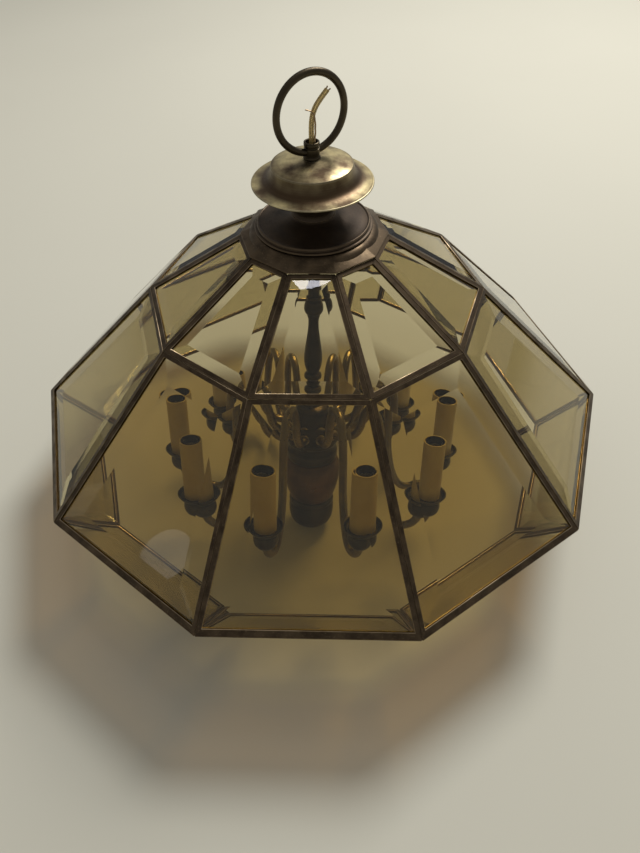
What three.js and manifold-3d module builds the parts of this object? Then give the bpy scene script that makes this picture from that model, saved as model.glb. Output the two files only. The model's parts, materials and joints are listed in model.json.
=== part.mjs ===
// Ten-sided bevelled-glass pendant lantern with a ten-light candle cluster.
// Millimetres, +Z up. The origin is the inside top of the hanging ring, where a hook bears.
import * as THREE from 'three';
import { mergeVertices } from 'three/addons/utils/BufferGeometryUtils.js';
import Module from 'manifold-3d';

const wasm = await Module();
wasm.setup();

// ---- Driving dimensions -------------------------------------------------------------------

const SIDES = 10;
const HALF_SIDE = Math.PI / SIDES;
const DECAGON_YAW = THREE.MathUtils.degToRad(-2.8);
const GAP = 0.3;

// Corners of the glass cage: radius across the vertices and height above the rim.
const SKIRT_EDGE = { radius: 281, height: -61 };
const RIM = { radius: 340, height: 0 };
const SHOULDER = { radius: 179, height: 158 };
const COLLAR = { radius: 72.5, height: 222 };

// U-channel came and the glass that it grips. Depths run inwards from the came's outer face.
const CAME_THICKNESS = 5.6;
const CAME_WIDTH = 5.2;
const CAME_LIP = 1.2;
const GLASS_THICKNESS = 5;
const GLASS_EDGE = 2.2;
const PANE_INSET = 2.5;
const RIM_STEP = 2.8;
const UPPER_BEVEL = 14;
const MIDDLE_BEVEL = 25;

// Hanging ring and its hub.
const RING_WIRE_RADIUS = 3.3;
const RING_RADIUS = 33.6;
const RING_CENTRE = 339.2;
const RING_YAW = THREE.MathUtils.degToRad(28);
const RING_INSIDE_TOP = RING_CENTRE + RING_RADIUS - RING_WIRE_RADIUS;
const HUB_SPIGOT_BOTTOM = 290;
const HUB_SPIGOT_RADIUS = 6.6;
const HUB_FOOT = 299.5;
const HUB_TOP = 315;
const HUB_MOUTH_DEPTH = 3.5;
const WIREWAY = 2.6;

// Threaded stem that draws canopy, spool, base disc and collar plate together.
const COLLAR_UNDERSIDE = 231.4;
const STEM_RADIUS = 4.9;
const STEM_HOLE = 5.3;
const STEM_BORE = 3;
const STEM_TOP = 301.5;
const STEM_BOTTOM = 217.5;
const LOCK_NUT_HEIGHT = 5;
const LOCK_NUT_RADIUS = 9.5;
const LOCK_NUT_BOTTOM = COLLAR_UNDERSIDE - GAP - LOCK_NUT_HEIGHT;

// Two-axis swivel below the collar. The cluster leans about X with its foot towards -Y, and a
// little about the swivel's own Y with its foot towards -X.
const PIVOT_HEIGHT = 204;
const LEAN = THREE.MathUtils.degToRad(-17.5);
const SIDE_LEAN = THREE.MathUtils.degToRad(2.3);
const EAR_INNER = 8.5;
const EAR_OUTER = 11.5;
const EAR_HALF_WIDTH = 5;
const TRUNNION_RADIUS = 2.9;
const TRUNNION_HOLE = 3.4;
const BALL_RADIUS = 8;
const YOKE_BRIDGE = 9.5;
const CLEVIS_BRIDGE = 12.5;

// Candle cluster. Depths run down its axis from the swivel pivot.
const CANDLE_CIRCLE = 155;
const CLUSTER_YAW = THREE.MathUtils.degToRad(0.3);
const SLEEVE_RADIUS = 11.45;
const SLEEVE_WALL = 1.1;
const SLEEVE_TOP = 173;
const SLEEVE_LENGTH = 69;
const PAN_FLOOR = SLEEVE_TOP + SLEEVE_LENGTH + GAP;
const SOCKET_RADIUS = 9.4;
const SOCKET_BORE = 7;
const SOCKET_TOP = 176;
const SOCKET_DEPTH = 30;
const ARM_RADIUS = 4.4;
const ARM_PORT_DEPTH = 210;
const ARM_PORT_START = 17;
const HUB_DEPTHS = { urn: 247.8, cup: 303.8, foot: 343 };

// ---- Materials ----------------------------------------------------------------------------

const finish = (color, roughness, metalness) =>
  new THREE.MeshStandardMaterial({ color, roughness, metalness });

const antiqueBrass = finish(0x7d6335, 0.32, 1);
const darkBronze = finish(0x3a2c1c, 0.4, 1);
const cameBronze = finish(0x4a3724, 0.45, 1);
const smokedGlass = new THREE.MeshStandardMaterial({
  color: 0x8a8064, roughness: 0.05, metalness: 0, transparent: true, opacity: 0.35,
});
const candleIvory = finish(0xcfc39a, 0.6, 0);
const steel = finish(0x8c8b86, 0.35, 1);
const cordGold = finish(0xa98f4a, 0.4, 0);
const copperWire = finish(0x7a6238, 0.5, 1);

// ---- Solids -------------------------------------------------------------------------------

function toSolid(geometry) {
  const bare = geometry.clone();
  bare.deleteAttribute('normal');
  bare.deleteAttribute('uv');
  const merged = mergeVertices(bare, 1e-4);
  const index = merged.index.array;
  const kept = [];
  for (let i = 0; i < index.length; i += 3) {
    const [a, b, c] = [index[i], index[i + 1], index[i + 2]];
    if (a !== b && b !== c && c !== a) kept.push(a, b, c);
  }
  return new wasm.Manifold(new wasm.Mesh({
    numProp: 3,
    vertProperties: new Float32Array(merged.attributes.position.array),
    triVerts: new Uint32Array(kept),
  }));
}

function toGeometry(solid) {
  const mesh = solid.getMesh();
  const geometry = new THREE.BufferGeometry();
  geometry.setAttribute('position', new THREE.BufferAttribute(mesh.vertProperties, 3));
  geometry.setIndex(new THREE.BufferAttribute(mesh.triVerts, 1));
  return geometry;
}

const join = (...geometries) =>
  toGeometry(geometries.map(toSolid).reduce((whole, piece) => whole.add(piece)));

const cut = (geometry, ...tools) =>
  toGeometry(tools.map(toSolid).reduce((whole, tool) => whole.subtract(tool), toSolid(geometry)));

// Round or many-sided body about +Z. Each profile point is [radius, height].
function turned(profile, segments = 32, phase = 0) {
  const points = profile.map(([radius, height]) => new THREE.Vector2(radius, height));
  const onAxis = profile[0][0] === 0 && profile.at(-1)[0] === 0;
  if (!onAxis) points.push(points[0].clone());
  const signedArea = points.reduce((sum, point, i) => {
    const next = points[(i + 1) % points.length];
    return sum + point.x * next.y - next.x * point.y;
  }, 0);
  if (signedArea < 0) points.reverse();
  const geometry = new THREE.LatheGeometry(points, segments);
  geometry.rotateX(Math.PI / 2);
  geometry.rotateZ(phase);
  return geometry;
}

// Closed body through rings of points that run anticlockwise seen from the last ring's side.
function loft(rings) {
  const count = rings[0].length;
  const positions = rings.flat().flatMap((point) => point.toArray());
  const index = [];
  for (let level = 0; level + 1 < rings.length; level += 1) {
    for (let i = 0; i < count; i += 1) {
      const here = level * count + i;
      const next = level * count + (i + 1) % count;
      index.push(here, next, next + count, here, next + count, here + count);
    }
  }
  const last = (rings.length - 1) * count;
  for (let i = 1; i + 1 < count; i += 1) {
    index.push(0, i + 1, i);
    index.push(last, last + i, last + i + 1);
  }
  const geometry = new THREE.BufferGeometry();
  geometry.setAttribute('position', new THREE.Float32BufferAttribute(positions, 3));
  geometry.setIndex(index);
  return geometry;
}

// Round bar along a curve.
function bar(curve, radius, steps, sides = 8) {
  const section = new THREE.Shape();
  for (let i = 0; i < sides; i += 1) {
    const angle = (2 * Math.PI * i) / sides;
    const point = [radius * Math.cos(angle), radius * Math.sin(angle)];
    if (i === 0) section.moveTo(...point);
    else section.lineTo(...point);
  }
  return new THREE.ExtrudeGeometry(section, {
    steps, curveSegments: 1, bevelEnabled: false, extrudePath: curve,
  });
}

const cylinder = (radius, length, sides = 16) =>
  new THREE.CylinderGeometry(radius, radius, length, sides);

// Vertex i of the decagon lies on this bearing, and side i lies half a side further on.
const vertexAngle = (i) => -Math.PI / 2 + DECAGON_YAW + (2 * i + 1) * HALF_SIDE;
const sideAngle = (i) => vertexAngle(i) - HALF_SIDE;

// Arm i of the cluster lies on this bearing about the cluster's own axis.
const armAngle = (i) => -Math.PI / 2 + CLUSTER_YAW + (2 * i + 1) * HALF_SIDE;

// ---- Glass cage ---------------------------------------------------------------------------

const apothem = (level) => level.radius * Math.cos(HALF_SIDE);
const sideWidth = (level) => 2 * level.radius * Math.sin(HALF_SIDE);

// One face's frame: X across the side, Y up the slope from the lower edge, Z outwards.
function faceMatrix(lower, upper, side) {
  const angle = sideAngle(side);
  const radial = new THREE.Vector3(Math.cos(angle), Math.sin(angle), 0);
  const foot = radial.clone().multiplyScalar(apothem(lower)).setZ(lower.height);
  const head = radial.clone().multiplyScalar(apothem(upper)).setZ(upper.height);
  const across = new THREE.Vector3(-Math.sin(angle), Math.cos(angle), 0);
  const upSlope = head.sub(foot).normalize();
  const outwards = across.clone().cross(upSlope);
  return new THREE.Matrix4().makeBasis(across, upSlope, outwards).setPosition(foot);
}

// The rim is the sharpest edge, so what is glazed there stands further in to clear the mitre.
const edgeInset = (level, inset) => (level === RIM ? inset + RIM_STEP : inset);

// The face's outline drawn in by an inset, at one height off the face.
function faceOutline(lower, upper, inset, height) {
  const slope = Math.hypot(apothem(upper) - apothem(lower), upper.height - lower.height);
  const bottom = edgeInset(lower, inset);
  const top = slope - edgeInset(upper, inset);
  const half = (y) => THREE.MathUtils.lerp(sideWidth(lower), sideWidth(upper), y / slope) / 2;
  const flare = (sideWidth(upper) - sideWidth(lower)) / (2 * slope);
  const sideInset = inset * Math.hypot(1, flare);
  const low = half(bottom) - sideInset;
  const high = half(top) - sideInset;
  return [
    new THREE.Vector3(-low, bottom, height),
    new THREE.Vector3(low, bottom, height),
    new THREE.Vector3(high, top, height),
    new THREE.Vector3(-high, top, height),
  ];
}

const PANE_BACK = -(CAME_THICKNESS - CAME_LIP);

function pane(lower, upper, bevel) {
  return loft([
    faceOutline(lower, upper, PANE_INSET, PANE_BACK),
    faceOutline(lower, upper, PANE_INSET, PANE_BACK + GLASS_EDGE),
    faceOutline(lower, upper, PANE_INSET + bevel, PANE_BACK + GLASS_THICKNESS),
  ]);
}

// Corner of the cage's section moved square to the faces on both sides of it.
function mitred(previous, corner, next, depth) {
  const direction = (from, to) => new THREE.Vector2(
    apothem(to) - apothem(from), to.height - from.height,
  ).normalize();
  const before = previous ? direction(previous, corner) : direction(corner, next);
  const after = next ? direction(corner, next) : before;
  const inward = (d) => new THREE.Vector2(-d.y, d.x);
  const bisector = inward(before).add(inward(after)).normalize();
  const reach = depth / bisector.dot(inward(before));
  return [apothem(corner) + bisector.x * reach, corner.height + bisector.y * reach];
}

const LEVELS = [SKIRT_EDGE, RIM, SHOULDER, COLLAR];

// Mitred ten-sided ring lying in one tier's faces, between two depths below them.
function tierRing(lower, upper, inset, back, front) {
  const run = apothem(upper) - apothem(lower);
  const rise = upper.height - lower.height;
  const slope = Math.hypot(run, rise);
  const start = edgeInset(lower, inset);
  const end = slope - edgeInset(upper, inset);
  const onFace = (distance, depth) => {
    const reach = apothem(lower) + (run * distance - rise * depth) / slope;
    const height = lower.height + (rise * distance + run * depth) / slope;
    return [reach / Math.cos(HALF_SIDE), height];
  };
  return turned([
    onFace(start, back), onFace(start, front), onFace(end, front), onFace(end, back),
  ], SIDES, vertexAngle(0) + Math.PI / 2);
}

// The skirt's ten panes, mitred edge to edge into one glazed ring that runs behind its ribs.
const skirtGlass = () =>
  tierRing(SKIRT_EDGE, RIM, PANE_INSET, -PANE_BACK, -PANE_BACK - GLASS_EDGE);

const skirtSlot = () =>
  tierRing(SKIRT_EDGE, RIM, PANE_INSET - GAP, GAP - PANE_BACK, -PANE_BACK - GLASS_EDGE - GAP);

// Soldered came of one tier: a mitred ten-sided ring with ten windows and ten glazing slots.
function cameFrame(tier) {
  const [lower, upper] = [LEVELS[tier], LEVELS[tier + 1]];
  const corner = (k, depth) => mitred(LEVELS[k - 1], LEVELS[k], LEVELS[k + 1], depth);
  const section = [
    corner(tier, 0), corner(tier + 1, 0),
    corner(tier + 1, CAME_THICKNESS), corner(tier, CAME_THICKNESS),
  ];
  const along = new THREE.Vector2(section[1][0] - section[0][0], section[1][1] - section[0][1]);
  along.setLength(GAP / 2);
  const drawnIn = section.map(([x, z], i) => {
    const sign = i === 0 || i === 3 ? 1 : -1;
    return [(x + sign * along.x) / Math.cos(HALF_SIDE), z + sign * along.y];
  });
  const ring = turned(drawnIn, SIDES, vertexAngle(0) + Math.PI / 2);
  const tools = [];
  const slotBack = PANE_BACK - GAP;
  const slotFront = -CAME_LIP;
  for (let side = 0; side < SIDES; side += 1) {
    const place = faceMatrix(lower, upper, side);
    const window = loft([
      faceOutline(lower, upper, CAME_WIDTH, -2 * CAME_THICKNESS),
      faceOutline(lower, upper, CAME_WIDTH, CAME_THICKNESS),
    ]);
    const slot = loft([
      faceOutline(lower, upper, PANE_INSET - GAP, slotBack),
      faceOutline(lower, upper, PANE_INSET - GAP, slotFront),
    ]);
    tools.push(window.applyMatrix4(place), slot.applyMatrix4(place));
  }
  if (lower === SKIRT_EDGE) tools.push(skirtSlot());
  return cut(ring, ...tools);
}

// ---- Top hardware -------------------------------------------------------------------------

class RingArc extends THREE.Curve {
  constructor(radius, from, to) {
    super();
    Object.assign(this, { radius, from, to });
  }

  getPoint(t, target = new THREE.Vector3()) {
    const angle = THREE.MathUtils.lerp(this.from, this.to, t);
    return target.set(this.radius * Math.cos(angle), 0, this.radius * Math.sin(angle));
  }
}

// Arc of the hanging ring, open at the bottom by a half-angle where it enters the hub.
function ringBar(openHalfAngle, radius, steps, sides) {
  const arc = new RingArc(RING_RADIUS, -Math.PI / 2 + openHalfAngle, 1.5 * Math.PI - openHalfAngle);
  const geometry = bar(arc, radius, steps, sides);
  geometry.translate(0, 0, RING_CENTRE);
  geometry.rotateZ(RING_YAW);
  return geometry;
}

function hangingRing() {
  const endReach = WIREWAY + 2 * GAP;
  return ringBar(Math.asin(endReach / RING_RADIUS), RING_WIRE_RADIUS, 30, 8);
}

// Collar loop: threaded spigot through the cap, foot, and a ferrule whose mouth the wires leave by.
function loopHub() {
  const mouthFloor = HUB_TOP - HUB_MOUTH_DEPTH;
  const body = turned([
    [STEM_HOLE, HUB_SPIGOT_BOTTOM], [HUB_SPIGOT_RADIUS, HUB_SPIGOT_BOTTOM],
    [HUB_SPIGOT_RADIUS, HUB_FOOT + GAP], [7.8, HUB_FOOT + GAP], [7.9, HUB_FOOT + 1.6],
    [7.2, HUB_FOOT + 2.8], [7.2, HUB_TOP - 5.4], [6.4, HUB_TOP - 4.8], [7.3, HUB_TOP - 3.8],
    [7.3, HUB_TOP - 0.8], [6.7, HUB_TOP], [5.5, HUB_TOP], [5, mouthFloor],
    [WIREWAY, mouthFloor], [WIREWAY, STEM_TOP + GAP], [STEM_HOLE, STEM_TOP + GAP],
  ], 16);
  const socket = ringBar(Math.asin(WIREWAY / RING_RADIUS) * 0.9, RING_WIRE_RADIUS + GAP + 0.2, 30, 8);
  return cut(body, socket);
}

// Spun cap: flared rim, hollow cove, crisp shoulder and a shallow crown.
function canopyCap() {
  const hole = HUB_SPIGOT_RADIUS + GAP;
  return turned([
    [hole, HUB_FOOT], [14, 299.1], [25, 297.8], [33, 296.2], [37.6, 294.9], [38.6, 294.1],
    [39.1, 292], [40.3, 288], [42.5, 284], [45.2, 281.4], [48.4, 280.1], [52, 279.3],
    [55.5, 278.8], [57.6, 278.6], [58, 277.9], [57.4, 277.2], [55, 277.4], [51, 278], [47, 279],
    [44, 280.4], [41.2, 283.4], [39.1, 287.6], [37.9, 291.8], [37, 293.4], [32.6, 294.9],
    [24.8, 296.5], [14, 297.8], [hole, 298.2],
  ], 26);
}

// Waisted spool whose upper flange bears under the cap's rim.
function neckSpool() {
  return turned([
    [STEM_HOLE, 246.2], [20.6, 246.2], [19.8, 248.5], [19.6, 251], [20.6, 254.2], [23.4, 258],
    [28.5, 262.5], [34, 267], [39.5, 271.6], [44.4, 276.6], [44.8, 278.2], [43.8, 278.2],
    [38, 273.8], [31, 268], [25, 263.2], [20.5, 260], [STEM_HOLE, 260],
  ], 20);
}

function baseDisc() {
  return turned([
    [STEM_HOLE, 233.3], [57.4, 233.3], [58.4, 234.4], [57.4, 235.4], [55.6, 235.8],
    [55.6, 237.2], [54.6, 238.4], [53, 238.7], [44, 239.2], [34, 240.5], [27, 242.5],
    [22.5, 244.6], [21, 245.9], [STEM_HOLE, 245.9],
  ], 26);
}

// Ten-sided sloping plate with a round shoulder that closes the cage's top and carries the stem.
function collarPlate() {
  const flat = 1 / Math.cos(HALF_SIDE);
  const plate = turned([
    [STEM_HOLE * flat, COLLAR_UNDERSIDE], [51.6 * flat, COLLAR_UNDERSIDE], [70.3 * flat, 222.4],
    [71 * flat, 223.8], [52.2 * flat, 233], [STEM_HOLE * flat, 233],
  ], SIDES, vertexAngle(0) + Math.PI / 2);
  const shoulder = turned([
    [46, COLLAR_UNDERSIDE + 0.4], [63.4, 225.6], [64.6, 226.2], [64.4, 228], [61.5, 230.6],
    [57, 232.6], [46, 233],
  ], 26);
  return join(plate, shoulder);
}

function threadedStem() {
  return turned([
    [STEM_BORE, STEM_BOTTOM], [STEM_RADIUS, STEM_BOTTOM],
    [STEM_RADIUS, STEM_TOP], [STEM_BORE, STEM_TOP],
  ], 12);
}

function lockNut() {
  const top = LOCK_NUT_BOTTOM + LOCK_NUT_HEIGHT;
  const outer = turned([
    [0, LOCK_NUT_BOTTOM], [LOCK_NUT_RADIUS, LOCK_NUT_BOTTOM],
    [LOCK_NUT_RADIUS, top], [0, top],
  ], 6);
  const hole = cylinder(STEM_HOLE, 4 * LOCK_NUT_HEIGHT, 12);
  hole.rotateX(Math.PI / 2);
  hole.translate(0, 0, top);
  return cut(outer, hole);
}

// ---- Swivel -------------------------------------------------------------------------------

// Two round-ended ears on the X axis, joined by a bridge above or below the pivot.
function earPair(bridgeNear, bridgeFar) {
  const thickness = EAR_OUTER - EAR_INNER;
  const ears = [-1, 1].map((sign) => {
    const centre = sign * (EAR_INNER + EAR_OUTER) / 2;
    const eye = cylinder(EAR_HALF_WIDTH, thickness, 12);
    eye.rotateZ(Math.PI / 2);
    eye.translate(centre, 0, 0);
    const reach = Math.abs(bridgeNear) + 1;
    const shank = new THREE.BoxGeometry(thickness, 2 * EAR_HALF_WIDTH, reach);
    shank.translate(centre, 0, Math.sign(bridgeNear) * reach / 2);
    return join(eye, shank);
  });
  const depth = Math.abs(bridgeFar - bridgeNear);
  const bridge = new THREE.BoxGeometry(2 * EAR_OUTER, 2.4 * EAR_HALF_WIDTH, depth);
  bridge.translate(0, 0, (bridgeNear + bridgeFar) / 2);
  const holes = cylinder(TRUNNION_HOLE, 4 * EAR_OUTER, 12);
  holes.rotateZ(Math.PI / 2);
  return cut(join(...ears, bridge), holes);
}

function swivelYoke() {
  const bored = cylinder(STEM_HOLE, 20);
  bored.rotateX(Math.PI / 2);
  const boreBottom = STEM_BOTTOM - GAP - PIVOT_HEIGHT;
  bored.translate(0, 0, boreBottom + 10);
  return cut(earPair(YOKE_BRIDGE, LOCK_NUT_BOTTOM - GAP - PIVOT_HEIGHT), bored);
}

function swivelBlock() {
  const ball = new THREE.SphereGeometry(BALL_RADIUS, 12, 8);
  const across = cylinder(TRUNNION_RADIUS, 2 * EAR_OUTER, 12);
  const fore = across.clone();
  across.rotateZ(Math.PI / 2);
  return join(ball, across, fore);
}

// ---- Candle cluster, drawn hanging plumb with the pivot at z = 0 ----------------------------

function column() {
  const shaft = turned([
    [0, -15], [11, -15], [11, -17], [7.5, -19], [6, -24], [6, -50], [8, -53], [10, -58],
    [10, -66], [6.6, -70], [5.6, -76], [6, -86], [8, -101], [9.7, -115], [10, -124],
    [8.2, -132], [6.8, -138], [9.6, -140.5], [9.6, -144], [6.8, -147], [6.5, -154],
    [8.4, -163], [9.5, -172], [9.5, -182.7], [0, -182.7],
  ], 12);
  const clevis = earPair(-CLEVIS_BRIDGE, -CLEVIS_BRIDGE - 3.5);
  clevis.rotateZ(Math.PI / 2);
  return join(shaft, clevis);
}

// Stepped dome with a port for each arm, a bright bead and a wide band.
function armHub() {
  const body = turned([
    [0, -183], [10.5, -183], [12.5, -187], [18, -190.5], [19, -193], [20.4, -198],
    [24.6, -201.5], [27.4, -206], [28.2, -213], [28.6, -220], [30, -222], [30, -225],
    [27.2, -227.2], [26.4, -231], [28, -234.5], [30, -237.5], [30, -245.5], [28, -247.5],
    [0, -247.5],
  ], 20);
  const ports = [];
  for (let i = 0; i < SIDES; i += 1) {
    const port = cylinder(ARM_RADIUS + GAP + 0.2, 40, 8);
    port.rotateZ(Math.PI / 2);
    port.translate(ARM_PORT_START - GAP + 20, 0, -ARM_PORT_DEPTH);
    port.rotateZ(armAngle(i));
    ports.push(port);
  }
  return cut(body, ...ports);
}

function hubUrn() {
  return turned([
    [0, -HUB_DEPTHS.urn], [28, -HUB_DEPTHS.urn], [31, -251], [33, -257], [33.6, -265],
    [33, -276], [30.6, -289], [27.4, -299], [25, -303.5], [0, -303.5],
  ], 18);
}

function lowerCup() {
  return turned([
    [0, -HUB_DEPTHS.cup], [25, -HUB_DEPTHS.cup], [27, -307.5], [27.4, -322], [26, -334],
    [23, -340.5], [20, -HUB_DEPTHS.foot], [0, -HUB_DEPTHS.foot],
  ], 18);
}

// Swan-neck tube, candle cup, drip pan and lamp socket of one light, in the X-Z plane.
function arm() {
  const route = [
    [ARM_PORT_START, 210], [25, 210], [36, 210], [47, 206], [56, 193], [61, 173], [69, 158.5],
    [80, 154], [91, 159], [98, 174], [101, 200], [104, 236], [112, 268], [123, 286.5],
    [135.5, 289], [147, 281.5], [153.5, 271], [CANDLE_CIRCLE, 258],
  ];
  const points = route.map(([reach, depth]) => new THREE.Vector3(reach, 0, -depth));
  const tube = bar(new THREE.CatmullRomCurve3(points), ARM_RADIUS, 18, 6);
  const boreFloor = -SOCKET_TOP - SOCKET_DEPTH;
  const fitting = turned([
    [0, -268], [5, -268], [9, -265], [12.6, -258], [12.6, -249], [10.6, -246],
    [15, -245], [18.2, -238.4], [17.2, -238.4], [14, -PAN_FLOOR], [SOCKET_RADIUS, -PAN_FLOOR],
    [SOCKET_RADIUS, -SOCKET_TOP], [SOCKET_BORE, -SOCKET_TOP], [SOCKET_BORE, boreFloor],
    [0, boreFloor],
  ], 12);
  fitting.translate(CANDLE_CIRCLE, 0, 0);
  return join(tube, fitting);
}

function candleSleeve() {
  const bottom = -SLEEVE_TOP - SLEEVE_LENGTH;
  const sleeve = turned([
    [SLEEVE_RADIUS - SLEEVE_WALL, bottom], [SLEEVE_RADIUS, bottom],
    [SLEEVE_RADIUS, -SLEEVE_TOP], [SLEEVE_RADIUS - SLEEVE_WALL, -SLEEVE_TOP],
  ], 12);
  sleeve.translate(CANDLE_CIRCLE, 0, 0);
  return sleeve;
}

// ---- Wires --------------------------------------------------------------------------------

const CORD_RADIUS = 2.3;
const GROUND_RADIUS = 0.9;

const through = (points) =>
  new THREE.CatmullRomCurve3(points.map((point) => new THREE.Vector3(...point)));

// Two-core lamp cord, cut off short above the hub.
function lampCord() {
  return bar(through([
    [0, 0, HUB_TOP - HUB_MOUTH_DEPTH + GAP], [0, 0, 318], [0.1, 0, 325], [0.6, 0, 332],
    [1.8, 0, 338.5], [4.2, 0, 344.5], [7.4, 0, 349.5], [10.8, 0, 354], [14.6, 0, 358.6],
  ]), CORD_RADIUS, 9, 8);
}

// Bare earth wire beside the cord, bent over at its cut end.
function groundWire() {
  return bar(through([
    [2.4, -2.9, HUB_TOP - HUB_MOUTH_DEPTH + GAP], [2.9, -3.2, 317], [3.6, -3.6, 325],
    [3.6, -3.8, 333], [2.7, -4, 339], [0.6, -4, 342.2], [-2, -4, 343.2], [-4.4, -4, 343.8],
  ]), GROUND_RADIUS, 12, 8);
}

// ---- Assembly -----------------------------------------------------------------------------

function add(parent, name, geometry, material) {
  const mesh = new THREE.Mesh(geometry, material);
  mesh.name = name;
  parent.add(mesh);
  return mesh;
}

const lantern = new THREE.Group();
lantern.position.z = -RING_INSIDE_TOP;

add(lantern, 'hanging_ring', hangingRing(), darkBronze);
add(lantern, 'loop_hub', loopHub(), darkBronze);
add(lantern, 'lamp_cord', lampCord(), cordGold);
add(lantern, 'ground_wire', groundWire(), copperWire);
add(lantern, 'canopy_cap', canopyCap(), antiqueBrass);
add(lantern, 'neck_spool', neckSpool(), darkBronze);
add(lantern, 'threaded_stem', threadedStem(), steel);
add(lantern, 'base_disc', baseDisc(), darkBronze);
add(lantern, 'collar_plate', collarPlate(), cameBronze);
add(lantern, 'lock_nut', lockNut(), steel);
add(lantern, 'skirt_came_frame', cameFrame(0), cameBronze);
add(lantern, 'middle_came_frame', cameFrame(1), cameBronze);
add(lantern, 'upper_came_frame', cameFrame(2), cameBronze);
add(lantern, 'skirt_glass', skirtGlass(), smokedGlass);

for (let side = 0; side < SIDES; side += 1) {
  const middle = pane(RIM, SHOULDER, MIDDLE_BEVEL).applyMatrix4(faceMatrix(RIM, SHOULDER, side));
  add(lantern, `middle_pane_${side + 1}`, middle, smokedGlass);
  const upper = pane(SHOULDER, COLLAR, UPPER_BEVEL).applyMatrix4(faceMatrix(SHOULDER, COLLAR, side));
  add(lantern, `upper_pane_${side + 1}`, upper, smokedGlass);
}

const pivot = new THREE.Group();
pivot.position.z = PIVOT_HEIGHT;
lantern.add(pivot);
add(pivot, 'swivel_yoke', swivelYoke(), darkBronze);

const leaning = new THREE.Group();
leaning.rotation.x = LEAN;
pivot.add(leaning);
add(leaning, 'swivel_block', swivelBlock(), steel);

const hanging = new THREE.Group();
hanging.rotation.y = SIDE_LEAN;
leaning.add(hanging);
add(hanging, 'column', column(), darkBronze);
add(hanging, 'arm_hub', armHub(), darkBronze);
add(hanging, 'hub_urn', hubUrn(), antiqueBrass);
add(hanging, 'lower_cup', lowerCup(), darkBronze);

for (let i = 0; i < SIDES; i += 1) {
  add(hanging, `arm_${i + 1}`, arm(), antiqueBrass).rotation.z = armAngle(i);
  add(hanging, `candle_sleeve_${i + 1}`, candleSleeve(), candleIvory).rotation.z = armAngle(i);
}

export default lantern;
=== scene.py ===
"""Ten-sided bevelled-glass pendant lantern with ten candle lights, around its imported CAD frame."""
import json
import math
import random

import bpy
from mathutils import Matrix, Vector


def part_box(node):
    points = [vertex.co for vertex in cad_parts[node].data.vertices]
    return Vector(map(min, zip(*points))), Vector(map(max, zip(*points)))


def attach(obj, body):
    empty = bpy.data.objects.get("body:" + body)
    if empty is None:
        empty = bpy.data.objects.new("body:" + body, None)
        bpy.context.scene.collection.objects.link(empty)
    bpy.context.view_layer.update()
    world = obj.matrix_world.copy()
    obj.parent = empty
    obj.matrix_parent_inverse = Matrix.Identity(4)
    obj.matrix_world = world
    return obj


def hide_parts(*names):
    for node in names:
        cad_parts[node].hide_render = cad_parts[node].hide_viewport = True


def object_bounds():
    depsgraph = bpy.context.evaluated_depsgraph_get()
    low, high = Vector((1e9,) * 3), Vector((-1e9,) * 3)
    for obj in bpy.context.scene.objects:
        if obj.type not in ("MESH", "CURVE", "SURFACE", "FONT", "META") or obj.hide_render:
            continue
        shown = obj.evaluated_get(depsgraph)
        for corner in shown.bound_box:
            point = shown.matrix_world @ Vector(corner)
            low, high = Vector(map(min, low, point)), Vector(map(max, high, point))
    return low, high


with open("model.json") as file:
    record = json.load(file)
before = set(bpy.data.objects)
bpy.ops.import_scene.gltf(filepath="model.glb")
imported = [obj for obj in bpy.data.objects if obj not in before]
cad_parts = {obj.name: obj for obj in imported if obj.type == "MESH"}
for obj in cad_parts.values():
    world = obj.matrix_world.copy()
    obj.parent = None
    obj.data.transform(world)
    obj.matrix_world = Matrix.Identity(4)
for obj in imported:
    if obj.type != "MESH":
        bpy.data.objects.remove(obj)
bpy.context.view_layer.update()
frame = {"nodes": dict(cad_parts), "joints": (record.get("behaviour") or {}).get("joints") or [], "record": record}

MM = 0.001
SIDES = 10
HALF_SIDE = math.pi / SIDES

# ---- Driving places, from the frame and the real lantern's sizes --------------------------------

# Heights in the lantern's own drawing are in millimetres above the rim.
RIM_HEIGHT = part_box("middle_came_frame")[0][2]
LANTERN = Matrix.Translation((0, 0, RIM_HEIGHT))

JOINTS = {joint["name"]: joint for joint in frame["joints"]}
PIVOT = Vector(JOINTS["lean_fore_aft"]["pos_m"])
LEAN = math.atan2(JOINTS["lean_sideways"]["axis"][2], JOINTS["lean_sideways"]["axis"][1])
SIDE_LEAN = math.radians(2.3)
CLUSTER_YAW = math.radians(0.3)
CLUSTER = (
    Matrix.Translation(PIVOT) @ Matrix.Rotation(LEAN, 4, "X") @ Matrix.Rotation(SIDE_LEAN, 4, "Y")
)

DECAGON_YAW = math.radians(-2.8)

# Corners of the glass cage: distance of a vertex from the axis, and height above the rim.
SKIRT_EDGE = (281, -61)
RIM = (340, 0)
SHOULDER = (179, 158)
COLLAR = (72.5, 222)

CAME_THICKNESS = 5.6
CAME_WIDTH = 5.2
CAME_LIP = 1.2
SEAM_HALF_WIDTH = 0.35
PANE_INSET = 2.5
RIM_STEP = 2.8
GLASS_THICKNESS = 5
GLASS_EDGE = 2.2
SKIRT_BEVEL = 14
PANE_BACK = CAME_THICKNESS - CAME_LIP
SLOT_CLEARANCE = 0.3

# Half the angle that the glass turns through over the rim and over the shoulder.
RIM_HALF_FOLD = math.radians(43.35)
SHOULDER_HALF_FOLD = math.radians(6.8)

# The solder fillet in each joint: how far in it lies, how short it stops, and its half sizes.
SOLDER_SINK = 2.6
SOLDER_END_GAP = 1.5
SOLDER_HALF_DEPTH = 1.7
SOLDER_HALF_WIDTH = 0.42

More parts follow.
